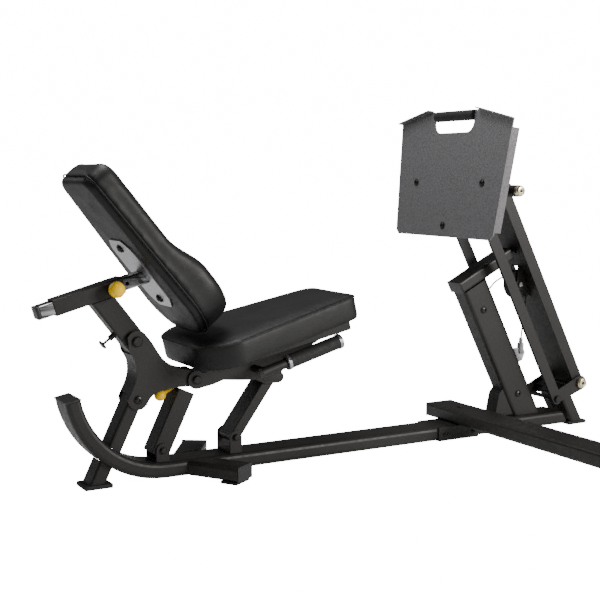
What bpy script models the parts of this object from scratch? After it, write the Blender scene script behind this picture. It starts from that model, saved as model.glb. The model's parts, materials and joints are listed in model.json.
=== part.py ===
"""Leg press machine: a low rail frame, an adjustable seat and back rest, and a foot plate on parallel arms.

Metres, +Z up. +X runs along the rail from the seat to the foot plate, Y = 0 is the machine's middle plane,
and the origin is on the floor under the centre of the rear foot.
"""
import bpy
import bmesh
from math import atan2, cos, degrees, pi, radians, sin
from mathutils import Matrix, Vector

# ---------------------------------------------------------------- driving dimensions
GAP = 0.0003                    # between pieces that touch
WALL = 0.003                    # steel tube wall
PLATE = 0.006                   # gusset and bracket plate thickness

RAIL_BOTTOM = 0.010
RAIL_TOP = 0.060
RAIL_HALF_WIDTH = 0.061
RAIL_END_X = 1.441
TAIL_CENTRE = (0.219, 0.340)    # (x, z) of the tail's bend
TAIL_OUTER_R = TAIL_CENTRE[1] - RAIL_BOTTOM
TAIL_INNER_R = TAIL_CENTRE[1] - RAIL_TOP
TAIL_SWEEP = radians(78.8)
BEND_GAP = 0.0008               # clearance inside the bend

UPRIGHT_LEAN = radians(26.0)
UPRIGHT_SECTION = (0.046, 0.076)
LEG_SPLAY = radians(57.0)
FRONT_LEG_END = (0.4205, 0.1915)
FRONT_LEG_WIDTH = 0.087

MAST_PIVOT = (0.130, 0.449)     # (x, z) hinge of the back mast
SEAT_PIVOT = (0.325, 0.314)
LOWER_BOSS = (0.130, 0.267)
MAST_LEAN = radians(37.6)
MAST_SECTION = (0.070, 0.060)
SLEEVE_ANGLE = radians(15.5)
SLEEVE_START = (-0.122, 0.564)
SLEEVE_LENGTH = 0.226
SLEEVE_SECTION = (0.050, 0.060)
CHROME_SECTION = (0.040, 0.050)
CHROME_START = -0.043           # along the sleeve axis, from the sleeve's rear end

SLEEVE_PIN_AT = 0.188           # along the sleeve
MAST_PIN_UP = 0.052             # above the mast's hinge

SEAT_ANGLE = radians(13.2)
SEAT_REAR, SEAT_FRONT = 0.370, 0.970       # along the seat's own slope
SEAT_BOTTOM, SEAT_TOP = 0.275, 0.358       # square to the slope
SEAT_REAR_HALF, SEAT_FRONT_HALF = 0.231, 0.158
SEAT_CORNERS = (0.120, 0.045)              # corner radius at its rear and its front
SEAT_BOARD = 0.026
EAR_INNER = UPRIGHT_SECTION[1] / 2 + GAP + PLATE + 0.0015
EAR_OUTER = EAR_INNER + 0.006
SEAT_PIN_BASE = Vector((0.2440, 0, 0.2770))
SEAT_PIN_OUT = Vector((-0.910, 0, -0.415)).normalized()

HANDLE_ANGLE = radians(16.0)
HANDLE_Y = 0.130
HANDLE_SQUARE = 0.176           # handle axis, square to its own slope
HANDLE_REAR, HANDLE_FRONT = 0.679, 0.891
COLLAR_R, GRIP_R, CORE_R = 0.0250, 0.0232, 0.0155

BACK_ANGLE = radians(51.5)
BACK_TOP, BACK_END = -0.782, -0.150        # along the back rest, top to bottom
BACK_REAR, BACK_FRONT = 0.559, 0.636       # square to the back rest
BACK_TOP_HALF, BACK_END_HALF = 0.138, 0.186
BACK_CORNERS = (0.055, 0.140)              # corner radius at its top and its end
LUMBAR_START = -0.430
LUMBAR_DEPTH = 0.034
BOARD_REAR = 0.5370
BOARD_INSET = 0.008
LEAF_REAR = 0.5325
LEAF_MIDDLE, LEAF_HALF = -0.412, 0.134     # along the back rest
LEAF_HALF_WIDTH, LEAF_END_HALF = 0.083, 0.046
LEAF_BOLTS = (LEAF_MIDDLE - 0.102, LEAF_MIDDLE + 0.102)

LINK_FOOT = (0.462, 0.113)      # front link's lower pin
LINK_TOP = (0.596, 0.298)
BRACE_FOOT = (0.210, 0.098)
BRACE_LEAN = radians(25.5)

POST_LEAN = radians(27.0)
POST_SECTION = (0.110, 0.076)
POST_TOP = (1.437, 0.558)
STOP_START = (1.3757, 0.5532)
STOP_LENGTH = 0.2537
CROSS_X = 1.401
CROSS_FAR_Y, CROSS_NEAR_Y = 0.125, -0.900
RIGHT_LEAN = radians(30.0)      # of the leg under the arms
RIGHT_FOOT_X = 1.927

ARM_FOOT = (1.909, 0.168)       # lower pin of the back arm
FRONT_ARM_FOOT = (1.783, 0.119)
ARM_LENGTH = 0.825
ARM_LEAN = radians(27.3)
ARM_HALF_WIDTH = 0.075
BEARING_HALF = 0.0758
LINK_PLATE_Y = (0.0765, 0.0845)
FRONT_ARM_Y = (0.0862, 0.0972)
ARM_SHIFT = Vector((-ARM_LENGTH * sin(ARM_LEAN), ARM_LENGTH * cos(ARM_LEAN)))
ARM_TOP = (ARM_FOOT[0] + ARM_SHIFT.x, ARM_FOOT[1] + ARM_SHIFT.y)
FRONT_ARM_TOP = (FRONT_ARM_FOOT[0] + ARM_SHIFT.x, FRONT_ARM_FOOT[1] + ARM_SHIFT.y)
PULLEY_CENTRE = (1.657, 0.552)
PULLEY_R = 0.055
PULLEY_GROOVE_R = 0.047
CABLE_R = 0.0030
CABLE_ROUTE = [(1.478, 0.490), (1.512, 0.5255), (1.533, 0.545), (1.565, 0.570)]    # (x, z) out of the post
CABLE_ANCHOR = (1.684, 0.348)

PLATE_FOOT = (1.306, 0.738)     # middle of the foot plate's lower edge
PLATE_LEAN = radians(7.2)
PLATE_THICKNESS = 0.005
FLANGE_DEPTH = 0.037            # of the foot plate's two rear side flanges
CARRIAGE_BAR_H = 0.193          # height of the carriage's cross bar on the foot plate

BLACK = ((0.022, 0.021, 0.020), 0.45, 0.35)
VINYL = ((0.016, 0.016, 0.017), 0.55, 0.0)
RUBBER = ((0.012, 0.012, 0.012), 0.80, 0.0)
SILVER = ((0.50, 0.50, 0.52), 0.35, 0.9)
CHROME = ((0.75, 0.75, 0.76), 0.08, 1.0)
GOLD = ((0.80, 0.72, 0.50), 0.25, 1.0)
YELLOW = ((0.90, 0.62, 0.02), 0.25, 0.0)
GREY = ((0.30, 0.30, 0.31), 0.50, 0.5)
PLASTIC = ((0.015, 0.015, 0.015), 0.40, 0.0)

for old in list(bpy.data.objects):
    bpy.data.objects.remove(old, do_unlink=True)


def collection(name):
    made = bpy.data.collections.new(name)
    bpy.context.scene.collection.children.link(made)
    return made


PARTS = collection("leg_press_machine")
CUTTERS = collection("cutters")


# ---------------------------------------------------------------- helpers
def finish(obj, look):
    colour, roughness, metallic = look
    material = bpy.data.materials.new(obj.name + "_finish")
    material.use_nodes = True
    shader = material.node_tree.nodes["Principled BSDF"]
    shader.inputs["Base Color"].default_value = (*colour, 1.0)
    shader.inputs["Roughness"].default_value = roughness
    shader.inputs["Metallic"].default_value = metallic
    obj.data.materials.clear()
    obj.data.materials.append(material)
    return obj


def add(name, data, look=None, home=None):
    obj = bpy.data.objects.new(name, data)
    (home or PARTS).objects.link(obj)
    if look:
        finish(obj, look)
    return obj


def from_bmesh(name, bm, look, location=(0, 0, 0), rotation=(0, 0, 0), smooth=None):
    mesh = bpy.data.meshes.new(name)
    bm.to_mesh(mesh)
    bm.free()
    if smooth:
        mesh.shade_smooth()
        mesh.set_sharp_from_angle(angle=smooth)
    obj = add(name, mesh, look)
    obj.location = location
    obj.rotation_euler = rotation
    return obj


def box(name, look, size, centre, rotation=(0, 0, 0), bevel=0.0):
    bm = bmesh.new()
    bmesh.ops.create_cube(bm, size=1.0, matrix=Matrix.Diagonal((*size, 1.0)))
    obj = from_bmesh(name, bm, look, centre, rotation)
    if bevel:
        edge = obj.modifiers.new("edge", 'BEVEL')
        edge.width = bevel
        edge.segments = 2
    return obj


def rod(name, look, radius, start, end, sides=24):
    """A round bar from one point to another."""
    start, end = Vector(start), Vector(end)
    bm = bmesh.new()
    bmesh.ops.create_cone(bm, cap_ends=True, segments=sides, radius1=radius, radius2=radius,
                          depth=(end - start).length)
    obj = from_bmesh(name, bm, look, (start + end) / 2, smooth=radians(40))
    obj.rotation_euler = (end - start).to_track_quat('Z', 'Y').to_euler()
    return obj


def turned(name, look, profile, base, direction, sides=24):
    """A lathe shape: profile is (radius, height) from top to bottom along direction from base."""
    mesh = bpy.data.meshes.new(name)
    points = [(radius, 0.0, height) for radius, height in profile]
    mesh.from_pydata(points, [(i, i + 1) for i in range(len(points) - 1)], [])
    obj = add(name, mesh, look)
    obj.location = base
    obj.rotation_euler = Vector(direction).to_track_quat('Z', 'Y').to_euler()
    lathe = obj.modifiers.new("lathe", 'SCREW')
    lathe.steps = lathe.render_steps = sides
    lathe.use_merge_vertices = True
    lathe.merge_threshold = 0.00005
    lathe.use_smooth_shade = True
    return obj


def arc(centre, radius, first, last, steps=8):
    """Points on an arc, angles in degrees, counter-clockwise when last is above first."""
    angles = [radians(first + (last - first) * i / steps) for i in range(steps + 1)]
    return [(centre[0] + radius * cos(a), centre[1] + radius * sin(a)) for a in angles]


def rounded_rectangle(width, height, radius, steps=3):
    """A counter-clockwise outline about the origin."""
    points = []
    for sx, sy, start in ((1, 1, 0), (-1, 1, 90), (-1, -1, 180), (1, -1, 270)):
        corner = (sx * (width / 2 - radius), sy * (height / 2 - radius))
        points += arc(corner, radius, start, start + 90, steps)
    return points


def blend(points, steps=4):
    """A smooth Catmull-Rom line through the points."""
    line = []
    padded = [points[0]] + list(points) + [points[-1]]
    for a, b, c, d in zip(padded, padded[1:], padded[2:], padded[3:]):
        a, b, c, d = Vector(a), Vector(b), Vector(c), Vector(d)
        for i in range(steps):
            t = i / steps
            line.append(0.5 * (2 * b + (c - a) * t + (2 * a - 5 * b + 4 * c - d) * t * t
                               + (3 * b - a - 3 * c + d) * t ** 3))
    return [tuple(p) for p in line] + [tuple(points[-1])]


def as_mesh(curve_object, look):
    """Swaps a curve object for the mesh it makes, with its caps welded on."""
    bpy.context.view_layer.update()
    evaluated = curve_object.evaluated_get(bpy.context.evaluated_depsgraph_get())
    mesh = bpy.data.meshes.new_from_object(evaluated)
    bm = bmesh.new()
    bm.from_mesh(mesh)
    bmesh.ops.remove_doubles(bm, verts=bm.verts, dist=0.00002)
    bm.to_mesh(mesh)
    bm.free()
    name, matrix = curve_object.name, curve_object.matrix_world.copy()
    bpy.data.objects.remove(curve_object, do_unlink=True)
    made = add(name, mesh, look)
    made.matrix_world = matrix
    return made


def flat(name, look, outline, y_low, y_high):
    """A plate: an outline in the XZ plane, between two Y values."""
    curve = bpy.data.curves.new(name, 'CURVE')
    curve.dimensions = '2D'
    curve.fill_mode = 'BOTH'
    curve.extrude = (y_high - y_low) / 2
    spline = curve.splines.new('POLY')
    spline.points.add(len(outline) - 1)
    for point, (x, z) in zip(spline.points, outline):
        point.co = (x, z, 0.0, 1.0)
    spline.use_cyclic_u = True
    obj = add(name, curve)
    obj.location = (0, (y_low + y_high) / 2, 0)
    obj.rotation_euler = (pi / 2, 0, 0)
    return as_mesh(obj, look)


def tube(name, look, section, length, centre, rotation, corner=0.008, wall=WALL):
    """An open-ended rectangular tube along its own Z axis: section is (own X, own Y)."""
    bm = bmesh.new()
    outline = rounded_rectangle(section[0], section[1], corner)
    low = [bm.verts.new((x, y, -length / 2)) for x, y in outline]
    high = [bm.verts.new((x, y, length / 2)) for x, y in outline]
    for i in range(len(outline)):
        j = (i + 1) % len(outline)
        bm.faces.new((low[i], low[j], high[j], high[i]))
    obj = from_bmesh(name, bm, look, centre, rotation)
    shell = obj.modifiers.new("wall", 'SOLIDIFY')
    shell.thickness = wall
    shell.offset = -1.0
    return obj


def to_cutters(obj):
    for home in list(obj.users_collection):
        home.objects.unlink(obj)
    CUTTERS.objects.link(obj)
    obj.hide_render = True
    obj.display_type = 'WIRE'


def cut(obj, tool):
    to_cutters(tool)
    modifier = obj.modifiers.new("cut", 'BOOLEAN')
    modifier.operation = 'DIFFERENCE'
    modifier.object = tool


def weld(obj, *others):
    for other in others:
        to_cutters(other)
        modifier = obj.modifiers.new("weld", 'BOOLEAN')
        modifier.operation = 'UNION'
        modifier.object = other


def drill(obj, point, radius, half_width=0.25):
    """A hole along Y through the (x, z) point."""
    x, z = point
    cut(obj, rod(obj.name + "_hole", None, radius, (x, -half_width, z), (x, half_width, z)))


def pivot(name, point):
    empty = bpy.data.objects.new(name, None)
    empty.location = (point[0], 0, point[1])
    PARTS.objects.link(empty)
    return empty


def hang(empty, *objects):
    """Parents pieces to an empty on their joint's axis and leaves them where they are."""
    for obj in objects:
        obj.parent = empty
        obj.matrix_parent_inverse = Matrix.Translation(empty.location).inverted()


def along(start, angle, distance, aside=0.0):
    """A point at a distance along a line that rises at angle, and a step aside to its left."""
    return (start[0] + distance * cos(angle) - aside * sin(angle),
            start[1] + distance * sin(angle) + aside * cos(angle))


def stadium(a, b, radius_a, radius_b, steps=8):
    """Outline round two (x, z) centres."""
    angle = degrees(atan2(b[1] - a[1], b[0] - a[0]))
    return (arc(a, radius_a, angle + 90, angle + 270, steps)
            + arc(b, radius_b, angle - 90, angle + 90, steps))


# ---------------------------------------------------------------- base under the seat
def main_rail():
    """Flat oval tube: straight along the floor, with its rear end bent up."""
    bm = bmesh.new()
    height = RAIL_TOP - RAIL_BOTTOM
    middle = (RAIL_TOP + RAIL_BOTTOM) / 2
    ring = [bm.verts.new((RAIL_END_X, y, middle + z))
            for y, z in rounded_rectangle(2 * RAIL_HALF_WIDTH, height, 0.014)]
    edges = [bm.edges.new((ring[i], ring[(i + 1) % len(ring)])) for i in range(len(ring))]
    made = bmesh.ops.extrude_edge_only(bm, edges=edges)
    moved = [g for g in made["geom"] if isinstance(g, bmesh.types.BMVert)]
    bmesh.ops.translate(bm, verts=moved, vec=(TAIL_CENTRE[0] - RAIL_END_X, 0, 0))
    end_edges = [g for g in made["geom"] if isinstance(g, bmesh.types.BMEdge)]
    bmesh.ops.spin(bm, geom=moved + end_edges, cent=(TAIL_CENTRE[0], 0, TAIL_CENTRE[1]), axis=(0, 1, 0),
                   angle=TAIL_SWEEP, steps=14)
    bmesh.ops.recalc_face_normals(bm, faces=bm.faces)
    if sum(f.normal.z * f.calc_area() * (1 if f.calc_center_median().z > middle else -1)
           for f in bm.faces if f.calc_center_median().x > TAIL_CENTRE[0]) < 0:
        bmesh.ops.reverse_faces(bm, faces=bm.faces)
    obj = from_bmesh("main_rail", bm, BLACK, smooth=radians(40))
    shell = obj.modifiers.new("wall", 'SOLIDIFY')
    shell.thickness = WALL
    shell.offset = -1.0
    return obj


def tail_end_cap():
    start = TAIL_CENTRE
    middle_r = (TAIL_OUTER_R + TAIL_INNER_R) / 2
    angle = -pi / 2 - TAIL_SWEEP
    centre = (start[0] + middle_r * cos(angle), start[1] + middle_r * sin(angle))
    out = Vector((sin(angle), -cos(angle)))
    centre = Vector(centre) + out * (0.0025 + GAP)
    cap = box("tail_end_cap", PLASTIC, (TAIL_OUTER_R - TAIL_INNER_R, 2 * RAIL_HALF_WIDTH, 0.005),
              (centre.x, 0, centre.y), (0, TAIL_SWEEP - pi / 2, 0), bevel=0.002)
    return cap


def rear_leg():
    lean = UPRIGHT_LEAN
    foot = (0.005, 0.030)
    length = 0.12
    centre = (foot[0] + 0.02 * sin(lean), foot[1] + 0.02 * cos(lean))
    leg = tube("rear_leg", BLACK, UPRIGHT_SECTION, length, (centre[0], 0, centre[1]), (0, lean, 0))
    cut(leg, box("rear_leg_floor", None, (0.3, 0.2, 0.1), (0, 0, 0.014 + GAP - 0.05)))
    cut(leg, rod("rear_leg_tail", None, TAIL_OUTER_R + GAP, (TAIL_CENTRE[0], -0.1, TAIL_CENTRE[1]),
                 (TAIL_CENTRE[0], 0.1, TAIL_CENTRE[1]), sides=72))
    return leg


def front_leg(side, name):
    """A splayed floor leg, square-cut at its end and trimmed to the rail's side."""
    direction = Vector((cos(LEG_SPLAY), side * sin(LEG_SPLAY), 0))
    end = Vector((FRONT_LEG_END[0], side * FRONT_LEG_END[1], (RAIL_TOP + RAIL_BOTTOM) / 2))
    length = 0.235
    turn = atan2(direction.y, direction.x)
    leg = tube(name, BLACK, (RAIL_TOP - RAIL_BOTTOM, FRONT_LEG_WIDTH), length, end - direction * length / 2,
               (0, pi / 2, turn), corner=0.014)
    cut(leg, box(name + "_rail", None, (0.6, 2 * (RAIL_HALF_WIDTH + GAP), 0.2), (0.35, 0, 0.05)))
    pad_at = end - direction * 0.034
    pad = box(name + "_pad", RUBBER, (0.060, FRONT_LEG_WIDTH - 0.008, RAIL_BOTTOM - GAP),
              (pad_at.x, pad_at.y, (RAIL_BOTTOM - GAP) / 2), (0, 0, turn), bevel=0.002)
    return leg, pad


def seat_upright():
    lean = UPRIGHT_LEAN
    low = (0.050 + 0.001, 0.111)
    length = 0.240
    centre = (low[0] + 0.080 * sin(lean), low[1] + 0.080 * cos(lean))
    upright = tube("seat_upright", BLACK, UPRIGHT_SECTION, length, (centre[0], 0, centre[1]), (0, lean, 0))
    inner = rod("upright_tail", None, TAIL_INNER_R - BEND_GAP, (TAIL_CENTRE[0], -0.1, TAIL_CENTRE[1]),
                (TAIL_CENTRE[0], 0.1, TAIL_CENTRE[1]), sides=96)
    to_cutters(inner)
    keep = upright.modifiers.new("inside_the_bend", 'BOOLEAN')
    keep.operation = 'INTERSECT'
    keep.object = inner
    drill(upright, LOWER_BOSS, 0.0068)
    return upright


def gusset_outline():
    top = arc(MAST_PIVOT, 0.034, 160, 42, 8)
    right = blend([(0.157, 0.470), (0.180, 0.440), (0.203, 0.403), (0.224, 0.379), (0.256, 0.361),
                   (0.290, 0.348)], 3)
    seat = arc(SEAT_PIVOT, 0.026, 80, -78, 6)
    below = blend([(0.300, 0.2935), (0.262, 0.2940), (0.222, 0.2905), (0.186, 0.281), (0.166, 0.262),
                   (0.158, 0.246)], 3)
    foot = arc(LOWER_BOSS, 0.033, -25, -175, 7)
    left = blend([(0.0975, 0.270), (0.110, 0.295), (0.122, 0.322), (0.1275, 0.352), (0.1235, 0.386),
                  (0.108, 0.412)], 3)
    return top + right + seat + below + foot + left


def gusset_plates():
    inner = UPRIGHT_SECTION[1] / 2 + GAP
    plates = []
    for side, name in ((-1, "gusset_plate_near"), (1, "gusset_plate_far")):
        low, high = sorted((side * inner, side * (inner + PLATE)))
        plate = flat(name, BLACK, gusset_outline(), low, high)
        for hole, radius in ((MAST_PIVOT, 0.0083), (SEAT_PIVOT, 0.0083), (LOWER_BOSS, 0.0083)):
            drill(plate, hole, radius)
        plates.append(plate)
    return plates


def gusset_web():
    """The curved strip that joins the two gusset plates along their rear edge."""
    edge = blend([(0.1050, 0.2850), (0.1110, 0.2970), (0.1220, 0.3220), (0.1275, 0.352), (0.1240, 0.383),
                  (0.1125, 0.4070)], 3)
    inner = [(x + 0.0043, z) for x, z in reversed(edge)]
    half = UPRIGHT_SECTION[1] / 2
    return flat("gusset_web", BLACK, edge + inner, -half, half)


def seat_brace():
    lean = BRACE_LEAN
    length = 0.220
    up = length / 2 - 0.020
    centre = (BRACE_FOOT[0] + up * sin(lean), BRACE_FOOT[1] + up * cos(lean))
    brace = tube("seat_brace", BLACK, (0.058, 0.076), length, (centre[0], 0, centre[1]), (0, lean, 0),
                 corner=0.004)
    cut(brace, box("brace_floor", None, (0.3, 0.2, 0.1), (0.2, 0, RAIL_TOP + 0.012 - 0.05)))
    drill(brace, BRACE_FOOT, 0.0063)
    cut(brace, rod("seat_pin_hole", None, 0.0065, SEAT_PIN_BASE, SEAT_PIN_BASE - 0.034 * SEAT_PIN_OUT, 16))
    return brace


def tail_foot(first, last):
    """Points just inside the tail's bend, from one X to another."""
    radius = TAIL_INNER_R - BEND_GAP
    xs = [first + (last - first) * i / 3 for i in range(4)]
    return [(x, TAIL_CENTRE[1] - (radius ** 2 - (x - TAIL_CENTRE[0]) ** 2) ** 0.5) for x in xs]


def clevis(name, point, half_gap, width, foot=None, thickness=0.006):
    """Two ears on a base plate that is bolted to the rail, with a cross hole at the (x, z) point."""
    x, z = point
    base = RAIL_TOP + GAP
    outer = half_gap + thickness
    top = arc((x, z), width / 2, 180, 0, 8)
    outline = [(x + width / 2, base)] + (foot or [(x - width / 2, base)]) + top
    body = flat(name, BLACK, outline, -outer, outer)
    cut(body, box(name + "_slot", None, (width + 0.02, 2 * half_gap, 0.2), (x, 0, base + 0.006 + 0.1)))
    drill(body, point, 0.0063)
    return body


def through_bolt(name, look, point, half_length, shank, head, head_height=0.007, sides=20):
    """A pin along Y with a domed head at each end."""
    x, z = point
    chamfer = head_height * 0.35
    inside = half_length - head_height
    profile = [(0.0, 2 * half_length), (head - chamfer, 2 * half_length), (head, 2 * half_length - chamfer),
               (head, half_length + inside), (shank, half_length + inside), (shank, head_height),
               (head, head_height), (head, chamfer), (head - chamfer, 0.0), (0.0, 0.0)]
    return turned(name, look, profile, (x, -half_length, z), (0, 1, 0), sides)


# ---------------------------------------------------------------- back rest
def mast_point(distance, aside=0.0):
    """A point on the mast's line above its hinge."""
    return along(MAST_PIVOT, pi / 2 + MAST_LEAN, distance, aside)


def sleeve_point(distance, aside=0.0):
    return along(SLEEVE_START, SLEEVE_ANGLE, distance, aside)


def back_mast():
    length = 0.240
    middle = mast_point(length / 2 - 0.020)
    mast = tube("back_mast", BLACK, MAST_SECTION, length, (middle[0], 0, middle[1]), (0, -MAST_LEAN, 0),
                corner=0.006, wall=0.004)
    above = sleeve_point(SLEEVE_LENGTH / 2, 0.10)
    cut(mast, box("mast_top", None, (0.5, 0.2, 0.2 + SLEEVE_SECTION[0] + 2 * GAP), (above[0], 0, above[1]),
                  (0, -SLEEVE_ANGLE, 0)))
    drill(mast, MAST_PIVOT, 0.0083)
    pin = mast_point(MAST_PIN_UP)
    cut(mast, rod("mast_pin_hole", None, 0.0095, (pin[0], 0, pin[1]), mast_point_3d(MAST_PIN_UP, 0.2)))
    return mast


def mast_point_3d(distance, aside):
    x, z = mast_point(distance, aside)
    return (x, 0, z)


def adjuster_sleeve():
    middle = sleeve_point(SLEEVE_LENGTH / 2)
    sleeve = tube("adjuster_sleeve", BLACK, SLEEVE_SECTION, SLEEVE_LENGTH, (middle[0], 0, middle[1]),
                  (0, pi / 2 - SLEEVE_ANGLE, 0), corner=0.004, wall=0.0042)
    x, z = sleeve_point(SLEEVE_PIN_AT)
    cut(sleeve, rod("sleeve_pin_hole", None, 0.0083, (x, -0.1, z), (x, 0, z)))
    return sleeve


def pull_pin(name, ball_look, point, direction, reach, ball_r, ball_at, shaft_r=0.0055):
    """A spring plunger: a collar and shaft with a ball or button that is pulled along direction."""
    steps = 10
    ball = [(ball_r * sin(pi * i / steps), ball_at + ball_r * cos(pi * i / steps)) for i in range(steps)]
    neck_z = ball_at - ball_r * cos(pi / 7)
    ball = [p for p in ball if p[1] > neck_z]
    profile = ball + [(shaft_r + 0.0015, neck_z), (shaft_r + 0.0015, 0.001), (shaft_r, 0.001),
                      (shaft_r, -reach), (0.0, -reach)]
    profile[0] = (0.0, ball_at + ball_r)
    return turned(name, ball_look, profile, point, direction, 20)


def adjuster_tube():
    end = (BOARD_REAR - 0.0050 - back_offset(SLEEVE_START)) / back_rate()
    length = end - CHROME_START
    middle = sleeve_point(CHROME_START + length / 2)
    tube_ = tube("adjuster_tube", CHROME, CHROME_SECTION, length + 0.06, (middle[0], 0, middle[1]),
                 (0, pi / 2 - SLEEVE_ANGLE, 0), corner=0.004, wall=0.003)
    keep_out = back_centre((BACK_TOP + BACK_END) / 2, LEAF_REAR - GAP + 0.1)
    cut(tube_, box("tube_front", None, (0.2, 0.3, 0.9), (keep_out[0], 0, keep_out[1]),
                   (0, BACK_ANGLE - pi / 2, 0)))
    rear = sleeve_point(CHROME_START - 0.1)
    cut(tube_, box("tube_rear", None, (0.2, 0.3, 0.3), (rear[0], 0, rear[1]), (0, -SLEEVE_ANGLE, 0)))
    for i in range(5):
        x, z = sleeve_point(SLEEVE_PIN_AT + 0.025 * (i - 2))
        cut(tube_, rod("tube_hole", None, 0.0062, (x, -0.1, z), (x, 0, z), 16))
    return tube_


def back_centre(down, square):
    """(x, z) of a point on the back rest: down its length, and square to its face."""
    return (down * cos(BACK_ANGLE) + square * sin(BACK_ANGLE),
            -down * sin(BACK_ANGLE) + square * cos(BACK_ANGLE))


def back_offset(point):
    return point[0] * sin(BACK_ANGLE) + point[1] * cos(BACK_ANGLE)


def back_rate():
    return cos(SLEEVE_ANGLE) * sin(BACK_ANGLE) + sin(SLEEVE_ANGLE) * cos(BACK_ANGLE)


def slab(name, look, outline, low, high, matrix):
    """An outline in a sloping plane, thickened between two distances square to the plane."""
    curve = bpy.data.curves.new(name, 'CURVE')
    curve.dimensions = '2D'
    curve.fill_mode = 'BOTH'
    curve.extrude = (high - low) / 2
    spline = curve.splines.new('POLY')
    spline.points.add(len(outline) - 1)
    for point, (a, b) in zip(spline.points, outline):
        point.co = (a, b, 0.0, 1.0)
    spline.use_cyclic_u = True
    obj = add(name, curve)
    obj.matrix_world = matrix @ Matrix.Translation((0, 0, (low + high) / 2))
    return as_mesh(obj, look)


def frame(first, second, normal):
    return Matrix((first, second, normal)).transposed().to_4x4()


BACK_FRAME = frame((cos(BACK_ANGLE), 0, -sin(BACK_ANGLE)), (0, 1, 0), (sin(BACK_ANGLE), 0, cos(BACK_ANGLE)))
SEAT_FRAME = frame((cos(SEAT_ANGLE), 0, sin(SEAT_ANGLE)), (0, 1, 0), (-sin(SEAT_ANGLE), 0, cos(SEAT_ANGLE)))


def pad_outline(ends, halves, corners, inset=0.0, steps=6):
    """A long tapered pad with its own half width and corner radius at each end, counter-clockwise."""
    a, b = ends[0] + inset, ends[1] - inset
    h, k = halves[0] - inset, halves[1] - inset
    r, s = corners
    return (arc((b - s, -k + s), s, -90, 0, steps) + arc((b - s, k - s), s, 0, 90, steps)
            + arc((a + r, h - r), r, 90, 180, steps) + arc((a + r, -h + r), r, 180, 270, steps))


def round_edges(obj, width, segments=2):
    edge = obj.modifiers.new("edge", 'BEVEL')
    edge.width = width
    edge.segments = segments
    edge.limit_method = 'ANGLE'
    edge.angle_limit = radians(60)


def back_pad():
    """A tapered cushion with a lumbar roll across its lower end."""
    outline = pad_outline((BACK_TOP, BACK_END), (BACK_TOP_HALF, BACK_END_HALF), BACK_CORNERS)
    pad = slab("back_pad", VINYL, outline, BACK_REAR, BACK_FRONT, BACK_FRAME)
    round_edges(pad, 0.016)
    roll = pad_outline((LUMBAR_START, BACK_END - 0.003), (BACK_END_HALF - 0.030, BACK_END_HALF - 0.004),
                       (0.060, BACK_CORNERS[1] - 0.005))
    lumbar = slab("back_pad_lumbar", None, roll, BACK_FRONT - 0.030, BACK_FRONT + LUMBAR_DEPTH, BACK_FRAME)
    round_edges(lumbar, 0.028, 3)
    weld(pad, lumbar)
    pad.modifiers["weld"].solver = 'MANIFOLD'
    return pad


def back_board():
    outline = pad_outline((BACK_TOP, BACK_END), (BACK_TOP_HALF, BACK_END_HALF), BACK_CORNERS, BOARD_INSET)
    board = slab("back_board", PLASTIC, outline, BOARD_REAR, BACK_REAR - GAP, BACK_FRAME)
    round_edges(board, 0.006)
    for down in LEAF_BOLTS:
        x, z = back_centre(down, BOARD_REAR)
        cut(board, rod("board_hole", None, 0.0052, (x, 0, z), back_3d(down, 0, BOARD_REAR + 0.012)))
    return board


def back_3d(down, y, square):
    x, z = back_centre(down, square)
    return (x, y, z)


def back_leaf():
    """The silver leaf-shaped plate that holds the back rest to its tube."""
    shoulder = LEAF_HALF - 0.040
    half = [(LEAF_HALF, LEAF_END_HALF), (LEAF_HALF - 0.006, LEAF_END_HALF + 0.010),
            (shoulder + 0.008, LEAF_HALF_WIDTH - 0.004), (shoulder - 0.010, LEAF_HALF_WIDTH)]
    side = half + [(-x, y) for x, y in reversed(half)]
    outline = [(LEAF_MIDDLE + x, y) for x, y in side + [(x, -y) for x, y in reversed(side)]]
    leaf = slab("back_leaf", SILVER, outline, LEAF_REAR, BOARD_REAR - GAP, BACK_FRAME)
    for down in LEAF_BOLTS:
        x, z = back_centre(down, LEAF_REAR - 0.02)
        cut(leaf, rod("leaf_hole", None, 0.0052, (x, 0, z), back_3d(down, 0, BACK_REAR)))
    return leaf


# ---------------------------------------------------------------- seat
def seat_centre(forward, square):
    return (forward * cos(SEAT_ANGLE) - square * sin(SEAT_ANGLE),
            forward * sin(SEAT_ANGLE) + square * cos(SEAT_ANGLE))


def seat_pad():
    outline = pad_outline((SEAT_REAR, SEAT_FRONT), (SEAT_REAR_HALF, SEAT_FRONT_HALF), SEAT_CORNERS)
    pad = slab("seat_pad", VINYL, outline, SEAT_BOTTOM, SEAT_TOP, SEAT_FRAME)
    round_edges(pad, 0.012)
    return pad


def handle_point(forward, y):
    """A point on the handles' slope, level with their axes."""
    return (forward * cos(HANDLE_ANGLE) - HANDLE_SQUARE * sin(HANDLE_ANGLE), y,
            forward * sin(HANDLE_ANGLE) + HANDLE_SQUARE * cos(HANDLE_ANGLE))


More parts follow.
